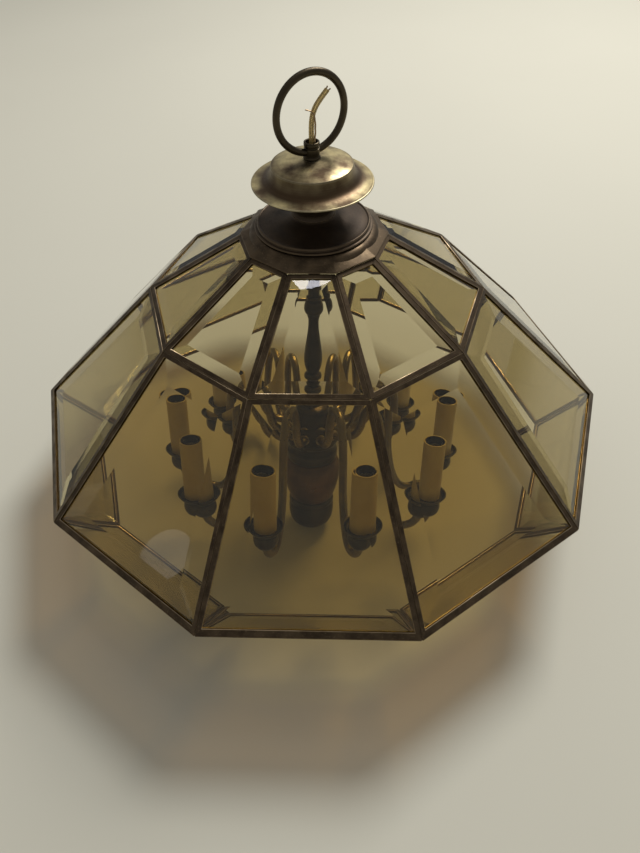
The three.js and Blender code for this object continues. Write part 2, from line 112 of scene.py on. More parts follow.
RING_RADIUS = 33.6
RING_WIRE = 3.3
RING_CENTRE = 339.2
RING_YAW = math.radians(28)
HUB_SPIGOT_BOTTOM = 290
HUB_FOOT = 299.8
MOUTH_FLOOR = 311.5
WIREWAY = 2.6

# Radii in metres where the painted dark reflection in the canopy's hollow starts, is darkest from and to, and
# ends.
CANOPY_PAINTED_DARK_REFLECTION = (0.0383, 0.0395, 0.047, 0.0525)

CANDLE_CIRCLE = 155
SLEEVE_RADIUS = 11.45
SLEEVE_WALL = 1.1
SLEEVE_TOP = 173
SLEEVE_BOTTOM = 242
PAN_FLOOR = 242.3
SOCKET_TOP = 176
SOCKET_DEPTH = 30
ARM_RADIUS = 4.4

# The chip out of one sleeve's rim, in millimetres and in radians round the rim.
CHIPPED = 0
CHIP_BEARING = math.radians(108)
CHIP_DEPTH = 3.2
CHIP_HALF_ANGLE = 0.4
NICK_DEPTH = 1.6
NICK_OFFSET = 0.62
NICK_HALF_ANGLE = 0.16

CAMERA_PITCH = math.radians(47.4)
CAMERA_ROLL = math.radians(1.54)
CAMERA_LENS = 27.64
CAMERA_PLACE = (0.0007, -0.586, RIM_HEIGHT + 0.574)
FLOOR_SIZE = 8
FLOOR_GAP = 0.0005

# ---- Materials ----------------------------------------------------------------------------------


class Shader:
    """A material's node tree, with short calls for the nodes used here."""

    def __init__(self, name):
        self.material = bpy.data.materials.new(name)
        self.material.use_nodes = True
        self.tree = self.material.node_tree
        self.tree.nodes.clear()
        self.output = self.node("ShaderNodeOutputMaterial")
        self.surface = self.node("ShaderNodeBsdfPrincipled")
        self.wire(self.surface.outputs["BSDF"], self.output.inputs["Surface"])

    def node(self, kind, **settings):
        made = self.tree.nodes.new(kind)
        for key, value in settings.items():
            setattr(made, key, value)
        return made

    def wire(self, source, target):
        self.tree.links.new(source, target)

    def set(self, **values):
        for key, value in values.items():
            self.surface.inputs[key.replace("_", " ")].default_value = value

    def noise(self, scale, detail=4, stretch=(1, 1, 1), source=None):
        """Noise between 0 and 1 over the piece's own coordinates, in features per metre."""
        mapping = self.node("ShaderNodeMapping")
        mapping.inputs["Scale"].default_value = stretch
        self.wire(source or self.node("ShaderNodeTexCoord").outputs["Object"], mapping.inputs[0])
        noise = self.node("ShaderNodeTexNoise")
        noise.inputs["Scale"].default_value = scale
        noise.inputs["Detail"].default_value = detail
        self.wire(mapping.outputs[0], noise.inputs["Vector"])
        return noise.outputs["Fac"]

    def ramp(self, factor, *stops):
        """Colour or grey ramp; each stop is (position, colour)."""
        ramp = self.node("ShaderNodeValToRGB")
        elements = ramp.color_ramp.elements
        while len(elements) < len(stops):
            elements.new(0.5)
        for element, (position, colour) in zip(elements, stops):
            element.position = position
            grey = not hasattr(colour, "__len__")
            element.color = (colour, colour, colour, 1) if grey else (*colour, 1)
        self.wire(factor, ramp.inputs[0])
        return ramp.outputs["Color"]

    def mix(self, factor, a, b, blend="MIX"):
        mix = self.node("ShaderNodeMix", data_type="RGBA", blend_type=blend)
        for socket, value in zip((mix.inputs[0], mix.inputs[6], mix.inputs[7]), (factor, a, b)):
            if hasattr(value, "is_output"):
                self.wire(value, socket)
            else:
                socket.default_value = value if not hasattr(value, "__len__") else (*value, 1)
        return mix.outputs[2]

    def bump(self, height, strength, distance):
        bump = self.node("ShaderNodeBump")
        bump.inputs["Strength"].default_value = strength
        bump.inputs["Distance"].default_value = distance
        self.wire(height, bump.inputs["Height"])
        self.wire(bump.outputs[0], self.surface.inputs["Normal"])

    def worn_edges(self, low=0.505, high=0.56):
        """1 on the convex edges that hands and polish reach, 0 elsewhere."""
        geometry = self.node("ShaderNodeNewGeometry")
        return self.ramp(geometry.outputs["Pointiness"], (low, 0), (high, 1))

    def turned_coordinates(self):
        """Radius and height about the piece's own axis, so that marks run round it."""
        coordinate = self.node("ShaderNodeTexCoord").outputs["Object"]
        split = self.node("ShaderNodeSeparateXYZ")
        self.wire(coordinate, split.inputs[0])
        flat = self.node("ShaderNodeCombineXYZ")
        self.wire(split.outputs["X"], flat.inputs["X"])
        self.wire(split.outputs["Y"], flat.inputs["Y"])
        radius = self.node("ShaderNodeVectorMath", operation="LENGTH")
        self.wire(flat.outputs[0], radius.inputs[0])
        joined = self.node("ShaderNodeCombineXYZ")
        self.wire(radius.outputs["Value"], joined.inputs["X"])
        self.wire(split.outputs["Z"], joined.inputs["Z"])
        return joined.outputs[0]


def turned_metal(name, bright, body, dark, roughness, wear=0.6, metallic=1.0, hollow=None):
    """Spun or turned brass under patina: fine turning lines, dark mottling and bright edges.

    A hollow is four growing radii in metres: between the middle two a painted dark reflection, which stands in for
    shade, is at its darkest.
    """
    shader = Shader(name)
    about_axis = shader.turned_coordinates()
    rings = shader.noise(900, 3, source=about_axis)
    mottle = shader.noise(38, 6)
    fine = shader.noise(420, 4)
    patina = shader.ramp(mottle, (0.36, 0), (0.66, 1))
    base = shader.mix(patina, dark, body)
    # Painted shade: the hollow band is darkened to stand in for a dark reflection in the cove.
    if hollow:
        split = shader.node("ShaderNodeSeparateXYZ")
        shader.wire(about_axis, split.inputs[0])
        sunk = shader.ramp(split.outputs["X"], *zip(hollow, (0.0, 1.0, 1.0, 0.0)))
        base = shader.mix(sunk, base, dark)
    lined = shader.mix(shader.ramp(rings, (0.35, 0.78), (0.7, 1.12)), base, base, "MULTIPLY")
    tint = shader.mix(0.5, base, lined)
    worn = shader.mix(wear, (0, 0, 0), shader.worn_edges(), "MIX")
    shader.wire(shader.mix(worn, tint, bright), shader.surface.inputs["Base Color"])
    low, high = roughness
    shader.wire(
        shader.ramp(shader.mix(0.5, mottle, fine), (0.35, high), (0.65, low)),
        shader.surface.inputs["Roughness"],
    )
    shader.set(Metallic=metallic)
    shader.bump(shader.mix(0.4, rings, fine), 0.12, 0.0004)
    return shader.material


def came_metal(name, bright, body, dark):
    """Rolled channel under patina: cloudy and finely grained, with bright arrises."""
    shader = Shader(name)
    mottle = shader.noise(55, 6)
    grain = shader.noise(520, 5)
    base = shader.mix(shader.ramp(mottle, (0.38, 0), (0.64, 1)), dark, body)
    flecked = shader.mix(shader.ramp(grain, (0.58, 0), (0.74, 0.6)), base, bright)
    worn = shader.worn_edges(0.51, 0.6)
    shader.wire(shader.mix(worn, flecked, bright), shader.surface.inputs["Base Color"])
    shader.wire(shader.ramp(mottle, (0.35, 0.52), (0.7, 0.3)), shader.surface.inputs["Roughness"])
    shader.set(Metallic=0.92)
    shader.bump(grain, 0.15, 0.0003)
    return shader.material


SMOKE_TINT = (0.63, 0.56, 0.36)
SHADOW_TINT = (0.72, 0.61, 0.35)


def smoked_glass():
    """Bronze-smoked plate. Shadow and diffuse rays go straight through, tinted by it."""
    shader = Shader("smoked_glass")
    shader.set(Transmission_Weight=1.0, IOR=1.5, Roughness=0.0)
    shader.surface.inputs["Base Color"].default_value = (*SMOKE_TINT, 1)
    smear = shader.noise(16, 5, (1, 1, 2.2))
    shader.wire(shader.ramp(smear, (0.5, 0.0), (0.75, 0.045)), shader.surface.inputs["Roughness"])
    through = shader.node("ShaderNodeBsdfTransparent")
    through.inputs["Color"].default_value = (*SHADOW_TINT, 1)
    path = shader.node("ShaderNodeLightPath")
    shown = shader.surface.outputs[0]
    for kind in ("Is Shadow Ray", "Is Diffuse Ray"):
        choice = shader.node("ShaderNodeMixShader")
        shader.wire(path.outputs[kind], choice.inputs[0])
        shader.wire(shown, choice.inputs[1])
        shader.wire(through.outputs[0], choice.inputs[2])
        shown = choice.outputs[0]
    shader.wire(shown, shader.output.inputs["Surface"])
    return shader.material


def candle_ivory():
    """Ivory card sleeve: yellowed in clouds and faintly fibrous."""
    shader = Shader("candle_ivory")
    clouds = shader.noise(30, 5)
    fibre = shader.noise(700, 4, (1, 1, 0.15))
    cloudy = shader.ramp(clouds, (0.35, 0), (0.7, 1))
    base = shader.mix(cloudy, (0.66, 0.54, 0.27), (0.80, 0.70, 0.40))
    tinted = shader.mix(shader.ramp(fibre, (0.45, 0), (0.75, 0.25)), base, (0.50, 0.39, 0.22))
    shader.wire(tinted, shader.surface.inputs["Base Color"])
    shader.set(Roughness=0.48, Subsurface_Weight=0.08)
    shader.surface.inputs["Subsurface Radius"].default_value = (0.004, 0.003, 0.0015)
    shader.bump(fibre, 0.2, 0.0003)
    return shader.material


def moulded(name, colour, roughness):
    """Moulded phenolic: near black, faintly cloudy."""
    shader = Shader(name)
    clouds = shader.noise(180, 4)
    light = tuple(c * 1.8 for c in colour)
    shader.wire(shader.mix(clouds, colour, light), shader.surface.inputs["Base Color"])
    shader.set(Roughness=roughness)
    shader.bump(clouds, 0.1, 0.0002)
    return shader.material


def plated_steel():
    shader = Shader("steel")
    grain = shader.noise(600, 4, (1, 1, 4))
    shader.wire(
        shader.mix(grain, (0.42, 0.41, 0.38), (0.62, 0.61, 0.57)), shader.surface.inputs["Base Color"]
    )
    shader.wire(shader.ramp(grain, (0.3, 0.25), (0.7, 0.42)), shader.surface.inputs["Roughness"])
    shader.set(Metallic=1.0)
    shader.bump(grain, 0.1, 0.0002)
    return shader.material


def cord_gold():
    """Clear gold lamp-cord insulation, a little milky, with the copper showing through."""
    shader = Shader("cord_gold")
    milk = shader.noise(260, 4)
    shader.wire(
        shader.mix(milk, (0.62, 0.45, 0.16), (0.86, 0.68, 0.32)), shader.surface.inputs["Base Color"]
    )
    shader.wire(shader.ramp(milk, (0.3, 0.16), (0.7, 0.34)), shader.surface.inputs["Roughness"])
    shader.set(Transmission_Weight=0.55, IOR=1.48)
    shader.bump(milk, 0.15, 0.0003)
    return shader.material


def floor_paint():
    shader = Shader("pale_floor")
    clouds = shader.noise(1.2, 3)
    shader.wire(
        shader.mix(clouds, (0.60, 0.585, 0.50), (0.655, 0.64, 0.55)), shader.surface.inputs["Base Color"]
    )
    shader.set(Roughness=0.9)
    return shader.material


FINISHES = {
    "antique_brass": turned_metal(
        "antique_brass", (0.88, 0.80, 0.55), (0.47, 0.41, 0.245), (0.20, 0.165, 0.10), (0.2, 0.42)
    ),
    "dark_bronze": turned_metal(
        "dark_bronze", (0.28, 0.225, 0.14), (0.105, 0.084, 0.054), (0.055, 0.044, 0.03),
        (0.26, 0.48), 0.3,
    ),
    "came_bronze": came_metal(
        "came_bronze", (0.22, 0.16, 0.098), (0.105, 0.074, 0.044), (0.05, 0.035, 0.022)
    ),
    "smoked_glass": smoked_glass(),
    "candle_ivory": candle_ivory(),
    "steel": plated_steel(),
    "cord_gold": cord_gold(),
    "copper": turned_metal(
        "copper", (0.50, 0.36, 0.22), (0.26, 0.18, 0.10), (0.10, 0.07, 0.045), (0.3, 0.5)
    ),
}
# A brighter copy of the antique brass: painted light on the canopy's crown and rim. Its hollow band is painted
# shade, standing in for a dark reflection.
CANOPY_BRASS_PAINTED_LIGHT_AND_SHADE = turned_metal(
    "canopy_brass_painted_light_and_shade", (0.98, 0.90, 0.62), (0.78, 0.69, 0.42), (0.13, 0.085, 0.045), (0.3, 0.46),
    metallic=0.85, hollow=CANOPY_PAINTED_DARK_REFLECTION,
)
REDDISH_BRASS = turned_metal(
    "reddish_brass", (0.50, 0.34, 0.18), (0.23, 0.135, 0.07), (0.12, 0.07, 0.04), (0.26, 0.44), 0.4
)
ARM_BRASS = turned_metal(
    "arm_brass", (0.62, 0.50, 0.27), (0.25, 0.19, 0.09), (0.10, 0.07, 0.04), (0.25, 0.45), 0.5
)
BAKELITE = moulded("bakelite", (0.012, 0.01, 0.008), 0.4)
CAME_EDGE = came_metal("came_edge", (0.50, 0.40, 0.27), (0.34, 0.26, 0.165), (0.17, 0.125, 0.075))
UMBER_BRONZE = turned_metal(
    "umber_bronze", (0.36, 0.26, 0.15), (0.14, 0.098, 0.06), (0.075, 0.052, 0.034),
    (0.36, 0.55), 0.45, metallic=0.7,
)
SOLDER = came_metal("solder", (0.12, 0.085, 0.055), (0.03, 0.02, 0.014), (0.012, 0.009, 0.007))

# ---- Pieces and shapes --------------------------------------------------------------------------


def piece(name, vertices, faces, finish, body, nodes=(), place=LANTERN, material=None, smooth=40):
    """One shown piece. Vertices are in millimetres in the frame that place sets."""
    mesh = bpy.data.meshes.new(name)
    mesh.from_pydata([tuple(c * MM for c in v) for v in vertices], [], faces)
    mesh.validate()
    mesh.polygons.foreach_set("use_smooth", [True] * len(mesh.polygons))
    mesh.set_sharp_from_angle(angle=math.radians(smooth))
    mesh.materials.append(material or FINISHES[finish])
    made = bpy.data.objects.new(name, mesh)
    bpy.context.scene.collection.objects.link(made)
    made.matrix_world = place
    if nodes:
        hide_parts(*nodes)
    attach(made, body)
    return made


def soften(made, width, segments=2, angle=35, edge_material=None):
    """Rounds a piece's hard arrises, and can give them a finish of their own."""
    bevel = made.modifiers.new("arris", "BEVEL")
    bevel.width = width * MM
    bevel.segments = segments
    bevel.limit_method = "ANGLE"
    bevel.angle_limit = math.radians(angle)
    if edge_material:
        made.data.materials.append(edge_material)
        bevel.material = len(made.data.materials) - 1
    return made


def curved(points, steps=5):
    """Points along a smooth curve through the given ones. A repeated point keeps a crisp corner."""
    rows = [Vector(p) for p in points]
    result = []
    for i in range(len(rows) - 1):
        if (rows[i] - rows[i + 1]).length < 1e-9:
            continue
        before = rows[max(i - 1, 0)]
        after = rows[min(i + 2, len(rows) - 1)]
        for k in range(steps):
            t = k / steps
            a, b = rows[i], rows[i + 1]
            result.append(
                0.5 * (2 * a + (b - before) * t + (2 * before - 5 * a + 4 * b - after) * t * t
                       + (3 * a - before - 3 * b + after) * t ** 3)
            )
    result.append(rows[-1])
    return result


def lathe(profile, steps=64, centre=(0, 0)):
    """Vertices and faces of a body turned about Z. It starts and ends on the axis, or closes."""
    points = [Vector(p) for p in profile]
    on_axis = points[0][0] < 1e-6 and points[-1][0] < 1e-6
    area = sum(a[0] * b[1] - b[0] * a[1] for a, b in zip(points, points[1:] + points[:1]))
    if area < 0:
        points.reverse()
    vertices, rings = [], []
    for point in points:
        radius = max(point[0], 0)
        count = 1 if radius < 1e-6 else steps
        rings.append(range(len(vertices), len(vertices) + count))
        for k in range(count):
            angle = 2 * math.pi * k / steps
            vertices.append(
                (centre[0] + radius * math.cos(angle), centre[1] + radius * math.sin(angle), point[1])
            )
    pairs = list(zip(rings, rings[1:]))
    if not on_axis:
        pairs.append((rings[-1], rings[0]))
    faces = []
    for low, high in pairs:
        for k in range(steps):
            n = (k + 1) % steps
            loop = [low[k % len(low)], low[n % len(low)], high[n % len(high)], high[k % len(high)]]
            corners = list(dict.fromkeys(loop))
            if len(corners) > 2:
                faces.append(corners)
    return vertices, faces


def sweep(path, section, first_normal):
    """Vertices and faces of a section carried along a path without twisting, closed at both ends."""
    path = [Vector(p) for p in path]
    normal = Vector(first_normal)
    vertices, faces = [], []
    count = len(section)
    for i, point in enumerate(path):
        tangent = (path[min(i + 1, len(path) - 1)] - path[max(i - 1, 0)]).normalized()
        normal = (normal - tangent * normal.dot(tangent)).normalized()
        side = tangent.cross(normal)
        vertices += [point + normal * a + side * b for a, b in section]
    for i in range(len(path) - 1):
        for k in range(count):
            n = (k + 1) % count
            a, b = i * count, (i + 1) * count
            faces.append([a + k, a + n, b + n, b + k])
    faces.append(list(reversed(range(count))))
    last = (len(path) - 1) * count
    faces.append(list(range(last, last + count)))
    return vertices, faces


def circle(radius, count=16, centre=(0, 0)):
    return [
        (centre[0] + radius * math.cos(2 * math.pi * k / count),
         centre[1] + radius * math.sin(2 * math.pi * k / count))
        for k in range(count)
    ]


def joined(*shapes):
    """Several bodies as one mesh."""
    vertices, faces = [], []
    for some_vertices, some_faces in shapes:
        start = len(vertices)
        vertices += list(some_vertices)
        faces += [[i + start for i in face] for face in some_faces]
    return vertices, faces


def vertex_angle(i):
    """Bearing of the decagon's vertex i."""
    return -math.pi / 2 + DECAGON_YAW + (2 * i + 1) * HALF_SIDE


def arm_angle(i):
    """Bearing of arm i about the cluster's own axis."""
    return -math.pi / 2 + CLUSTER_YAW + (2 * i + 1) * HALF_SIDE


# ---- Camera, floor and light --------------------------------------------------------------------


def set_camera():
    """Looks down on the lantern from close by, from the side that the cluster leans to."""
    back = Vector((0, -math.cos(CAMERA_PITCH), math.sin(CAMERA_PITCH)))
    up = Vector((0, math.sin(CAMERA_PITCH), math.cos(CAMERA_PITCH)))
    right = Vector((1, 0, 0))
    tilted_right = right * math.cos(CAMERA_ROLL) - up * math.sin(CAMERA_ROLL)
    tilted_up = up * math.cos(CAMERA_ROLL) + right * math.sin(CAMERA_ROLL)
    data = bpy.data.cameras.new("camera")
    data.lens = CAMERA_LENS
    data.sensor_width = 36
    camera = bpy.data.objects.new("camera", data)
    bpy.context.scene.collection.objects.link(camera)
    place = Matrix((tilted_right, tilted_up, back)).transposed().to_4x4()
    place.translation = CAMERA_PLACE
    camera.matrix_world = place
    bpy.context.scene.camera = camera


def add_area(name, at, target, size, power, colour=(1, 1, 1)):
    data = bpy.data.lights.new(name, "AREA")
    data.shape = "ELLIPSE"
    data.size, data.size_y = size
    data.energy = power
    data.color = colour
    light = bpy.data.objects.new(name, data)
    bpy.context.scene.collection.objects.link(light)
    light.location = at
    light.rotation_euler = (Vector(target) - Vector(at)).to_track_quat("-Z", "Y").to_euler()


def set_room(floor_height):
    """Pale floor and room, a soft window at the back right, and two small lights for the glass."""
    corners = [(-1, -1), (1, -1), (1, 1), (-1, 1)]
    mesh = bpy.data.meshes.new("floor")
    mesh.from_pydata(
        [(x * FLOOR_SIZE, y * FLOOR_SIZE, floor_height) for x, y in corners], [], [(0, 1, 2, 3)]
    )
    mesh.materials.append(floor_paint())
    floor = bpy.data.objects.new("floor", mesh)
    bpy.context.scene.collection.objects.link(floor)

    centre = (0, 0, RIM_HEIGHT)
    add_area("window", (1.3, 2.0, 2.6), centre, (1.4, 1.4), 118, (1.0, 0.975, 0.93))
    add_area("ceiling_light", (-0.066, 0.367, 1.65), centre, (0.2, 0.08), 0.42, (0.93, 0.92, 1.0))
    add_area("side_window", (-2.43, -1.09, 0.24), centre, (0.2, 0.26), 0.08, (0.9, 0.92, 1.0))
    world = bpy.data.worlds.new("room")
    world.use_nodes = True
    background = world.node_tree.nodes["Background"]
    background.inputs["Color"].default_value = (0.86, 0.85, 0.82, 1)
    background.inputs["Strength"].default_value = 0.34
    bpy.context.scene.world = world
    bpy.context.scene.view_settings.view_transform = "Standard"


set_camera()

# ---- Wires above the hub ------------------------------------------------------------------------

CORD_ROUTE = [
    (0, 0, 311.8), (0, 0, 318), (0.1, 0, 325), (0.6, 0, 332), (1.8, 0, 338.5),
    (4.2, 0, 344.5), (7.4, 0, 349.5), (10.8, 0, 354), (14.6, 0, 358.6),
]
GROUND_ROUTE = [
    (2.4, -2.9, 311.8), (2.9, -3.2, 317), (3.6, -3.6, 325), (3.6, -3.8, 333),
    (2.7, -4, 339), (0.6, -4, 342.2), (-2, -4, 343.2), (-4.4, -4, 343.8),
]
JACKET_RADIUS = 1.25
JACKET_WAIST = 0.18
CORE_OFFSET = 1.15
CORE_RADIUS = 0.62
CORE_SPREAD = 1.6
CORE_BARED = 2.2
EARTH_STRANDS = 3
EARTH_STRAND_RADIUS = 0.45
EARTH_TWIST_RADIUS = 0.42
EARTH_TWIST_STEPS = 14


def in_row(points):
    return [LANTERN @ (Vector(p) * MM) for p in points]


def lamp_cord():
    """Flat twin cord: a figure-eight jacket with two copper cores that show at its cut end."""
    route = curved(CORD_ROUTE, 4)
    lobes = []
    for k in range(24):
        angle = 2 * math.pi * k / 24
        reach = JACKET_RADIUS * (1 - JACKET_WAIST + JACKET_WAIST * math.cos(2 * angle))
        lobes.append(((reach + CORE_OFFSET) * math.cos(angle), reach * math.sin(angle)))
    jacket = piece(
        "lamp_cord_jacket", *sweep(route, lobes, (1, 0, 0)), "cord_gold", "loop", ["lamp_cord"]
    )
    end = route[-1]
    onward = (route[-1] - route[-2]).normalized()
    across = Vector((1, 0, 0)) - onward * onward.x
    across.normalize()
    cores = []
    for sign in (-1, 1):
        line = [p + across * sign * CORE_OFFSET for p in route[:-1]]
        line.append(end + across * sign * CORE_OFFSET)
        line.append(end + across * sign * CORE_SPREAD + onward * CORE_BARED)
        cores.append(sweep(line, circle(CORE_RADIUS, 10), (1, 0, 0)))
    strands = piece("lamp_cord_cores", *joined(*cores), "copper", "loop")
    line = in_row(route)


def ground_wire():
    """Bare stranded earth wire beside the cord, bent over where it was cut."""
    route = curved(GROUND_ROUTE, 5)
    strands = []
    for i in range(EARTH_STRANDS):
        twisted = []
        for k, point in enumerate(route):
            turn = 2 * math.pi * (i / EARTH_STRANDS + k / EARTH_TWIST_STEPS)
            aside = Vector((math.cos(turn), math.sin(turn), 0)) * EARTH_TWIST_RADIUS
            twisted.append(point + aside)
        strands.append(sweep(twisted, circle(EARTH_STRAND_RADIUS, 8), (1, 0, 0)))
    wire = piece("ground_wire_strands", *joined(*strands), "copper", "loop", ["ground_wire"])


lamp_cord()
ground_wire()

# ---- Hanging ring, hub, canopy and collar ---------------------------------------------------------


def hanging_ring():
    reach = math.asin((WIREWAY + 0.6) / RING_RADIUS)
    turn = Matrix.Rotation(RING_YAW, 3, "Z")
    path = []
    for k in range(97):
        angle = -math.pi / 2 + reach + (2 * math.pi - 2 * reach) * k / 96
        point = Vector((RING_RADIUS * math.cos(angle), 0, RING_CENTRE + RING_RADIUS * math.sin(angle)))
        path.append(turn @ point)
    piece(
        "ring_wire", *sweep(path, circle(RING_WIRE, 20), turn @ Vector((0, 1, 0))),
        "dark_bronze", "loop", ["hanging_ring"],
    )


def loop_hub():
    """Collar loop: spigot through the cap, foot, waist, and a ferrule whose mouth the wires leave by."""
    outline = curved([
        (5.3, HUB_SPIGOT_BOTTOM), (5.3, HUB_SPIGOT_BOTTOM), (6.6, HUB_SPIGOT_BOTTOM),
        (6.6, HUB_SPIGOT_BOTTOM), (6.6, HUB_FOOT), (6.6, HUB_FOOT), (7.7, HUB_FOOT), (7.7, HUB_FOOT),
        (8.1, 300.6), (7.9, 301.6), (7.3, 302.4), (7.2, 304), (7.2, 304), (7.2, 309.2), (7.2, 309.2),
        (6.5, 309.6), (6.4, 310.6), (7.2, 311.1), (7.2, 311.1), (7.4, 312.8), (7.2, 314),
        (7.3, 314.6), (6.8, 315), (6.1, 315.1), (5.5, 314.6), (5.3, 313.8), (5.3, 313.8),
        (5, MOUTH_FLOOR), (5, MOUTH_FLOOR), (WIREWAY, MOUTH_FLOOR), (WIREWAY, MOUTH_FLOOR),
        (WIREWAY, 301.8), (WIREWAY, 301.8), (5.3, 301.8), (5.3, 301.8),
    ], 3)
    piece("hub_body", *lathe(outline, 48), "dark_bronze", "loop", ["loop_hub"])


def canopy():
    """Spun cap: flared rim with a rolled lip, hollow cove, crisp shoulder and a shallow crown."""
    outline = curved([
        (6.9, 299.5), (6.9, 299.5), (14, 299.1), (25, 297.9), (33, 296.3), (37.4, 295),
        (38.4, 294.5), (38.4, 294.5), (38.8, 293.6), (38.8, 293.6), (39.2, 291.4), (40.4, 287.4),
        (42.6, 283.8), (45.4, 281.4), (48.6, 280.1), (52, 279.3), (55.5, 278.9), (57.3, 278.8),
        (58, 278.2), (57.8, 277.4), (56.8, 277.1), (55, 277.4), (51, 278), (47, 279), (44, 280.4),
        (41.2, 283.4), (39.1, 287.6), (37.9, 291.8), (37, 293.4), (32.6, 294.9), (24.8, 296.6),
        (14, 297.9), (6.9, 298.3), (6.9, 298.3),
    ], 4)
    piece(
        "canopy_shell", *lathe(outline, 96), "antique_brass", "cage", ["canopy_cap"],
        material=CANOPY_BRASS_PAINTED_LIGHT_AND_SHADE,
    )


def spool():
    """Waisted spool whose upper flange bears under the cap's rim."""
    outline = curved([
        (5.3, 246.2), (5.3, 246.2), (20.8, 246.2), (20.8, 246.2), (20.3, 247.2), (19.7, 249),
        (19.6, 251.4), (20.7, 254.6), (23.5, 258.4), (28.4, 262.6), (34, 267), (39.5, 271.6),
        (44, 276.2), (44.8, 277.6), (44.2, 278.2), (43.4, 277.8), (38, 273.8), (31, 268),
        (25, 263.2), (20.5, 260), (20.5, 260), (5.3, 260), (5.3, 260),
    ], 4)
    piece(
        "spool_body", *lathe(outline, 64), "dark_bronze", "cage", ["neck_spool"],
        material=UMBER_BRONZE,
    )


def base_disc():
    """Bell-shaped disc with a beaded edge above a wider step."""
    outline = curved([
        (5.3, 233.3), (5.3, 233.3), (57.6, 233.3), (57.6, 233.3), (58.4, 233.9), (58.3, 234.9),
        (57.4, 235.5), (55.8, 235.7), (55.8, 235.7), (55.5, 236.4), (56, 237.2), (55.6, 238.3),
        (54.6, 238.9), (53.6, 238.6), (53, 238.1), (53, 238.1), (50, 238.2), (44, 238.9),
        (35, 240.1), (27.6, 242.2), (23, 244.4), (21.4, 245.9), (21.4, 245.9), (5.3, 245.9),
        (5.3, 245.9),
    ], 4)
    piece(
        "base_bell", *lathe(outline, 96), "dark_bronze", "cage", ["base_disc"],
        material=UMBER_BRONZE,
    )


def collar():
    """Ten-sided plate under a round spun shoulder; together they close the cage's top."""
    flat = 1 / math.cos(HALF_SIDE)
    plate = [
        (5.3, 231.4), (51.6, 231.4), (70.3, 222.4), (71, 223.4), (70.4, 223.9), (52.2, 232.6),
        (5.3, 232.6),
    ]
    turn = Matrix.Rotation(vertex_angle(0), 3, "Z")
    vertices, faces = lathe([(radius * flat, height) for radius, height in plate], SIDES)
    decagon = piece(
        "collar_decagon", [turn @ Vector(v) for v in vertices], faces, "came_bronze", "cage",
        ["collar_plate"], smooth=15,
    )
    soften(decagon, 0.5, 2, 20)
    outline = curved([
        (46, 232.8), (46, 232.8), (52, 233), (57, 232.5), (61, 230.8), (63.6, 228.6), (64.5, 226.9),
        (64.4, 226), (63.8, 225.8), (63.8, 225.8), (62.6, 227), (59, 229.6), (52, 232), (46, 232.2),
        (46, 232.2),
    ], 3)
    piece("collar_shoulder", *lathe(outline, 96), "came_bronze", "cage")


# ---- Glass cage -----------------------------------------------------------------------------------


def apothem(level):
    return level[0] * math.cos(HALF_SIDE)


def side_width(level):
    return 2 * level[0] * math.sin(HALF_SIDE)


def face_place(lower, upper, side):
    """One face's frame in millimetres: X across it, Y up its slope, Z outwards."""
    angle = vertex_angle(side) - HALF_SIDE
    radial = Vector((math.cos(angle), math.sin(angle), 0))
    foot = radial * apothem(lower) + Vector((0, 0, lower[1]))
    head = radial * apothem(upper) + Vector((0, 0, upper[1]))
    across = Vector((-math.sin(angle), math.cos(angle), 0))
    up_slope = (head - foot).normalized()
    outwards = across.cross(up_slope)
    place = Matrix((across, up_slope, outwards)).transposed().to_4x4()
    place.translation = foot * MM
    return LANTERN @ place


def face_outline(lower, upper, insets, height):
    """The face's four corners, each edge drawn in by its own inset: (bottom, sides, top)."""
    slope = math.hypot(apothem(upper) - apothem(lower), upper[1] - lower[1])
    flare = (side_width(upper) - side_width(lower)) / (2 * slope)
    bottom, sides, top = insets
    side_inset = sides * math.hypot(1, flare)
    low = side_width(lower) / 2 + flare * bottom - side_inset
    high = side_width(upper) / 2 - flare * top - side_inset
    return [
        (-low, bottom, height), (low, bottom, height),
        (high, slope - top, height), (-high, slope - top, height),
    ]


def ring_faces(loops, closed):
    """Faces between loops of four corners. A closed stack joins its last loop to its first."""
    faces = []
    spans = list(range(len(loops) - 1)) + ([len(loops) - 1] if closed else [])
    for level in spans:
        above = (level + 1) % len(loops)
        for k in range(4):
            n = (k + 1) % 4
            faces.append([level * 4 + k, level * 4 + n, above * 4 + n, above * 4 + k])
    return faces


def half_fold(lower, upper, kind):
    """Half the angle that the cage turns through at one edge of a face."""
    run = math.hypot(apothem(upper) - apothem(lower), upper[1] - lower[1])
    lean = abs(upper[1] - lower[1]) / run
    if kind == "rib":
        return math.acos(lean * lean * math.cos(2 * HALF_SIDE) + 1 - lean * lean) / 2
    return {"rim": RIM_HALF_FOLD, "shoulder": SHOULDER_HALF_FOLD, "free": 0.0}[kind]


TIERS = {
    "skirt": (SKIRT_EDGE, RIM, "free", "rim"),
    "middle": (RIM, SHOULDER, "rim", "shoulder"),
    "upper": (SHOULDER, COLLAR, "shoulder", "free"),
}


def came_loops(lower, upper, low_kind, high_kind):
    """A U-channel's section carried round one pane: outer face, lip, glazing slot, lip, back."""
    kinds = (low_kind, "rib", high_kind)
    step = [RIM_STEP if kind == "rim" else 0 for kind in kinds]
    recession = [math.tan(half_fold(lower, upper, kind)) for kind in kinds]

    def loop(inset, depth):
        return face_outline(lower, upper, [inset + s for s in step], -depth)

    def joint(depth):
        insets = [SEAM_HALF_WIDTH + r * depth for r in recession]
        return face_outline(lower, upper, insets, -depth)

    slot_floor = PANE_INSET - SLOT_CLEARANCE
    slot_back = PANE_BACK + SLOT_CLEARANCE
    return [
        joint(0), loop(CAME_WIDTH, 0), loop(CAME_WIDTH, CAME_LIP), loop(slot_floor, CAME_LIP),
        loop(slot_floor, slot_back), loop(CAME_WIDTH, slot_back),
        loop(CAME_WIDTH, CAME_THICKNESS), joint(CAME_THICKNESS),
    ]


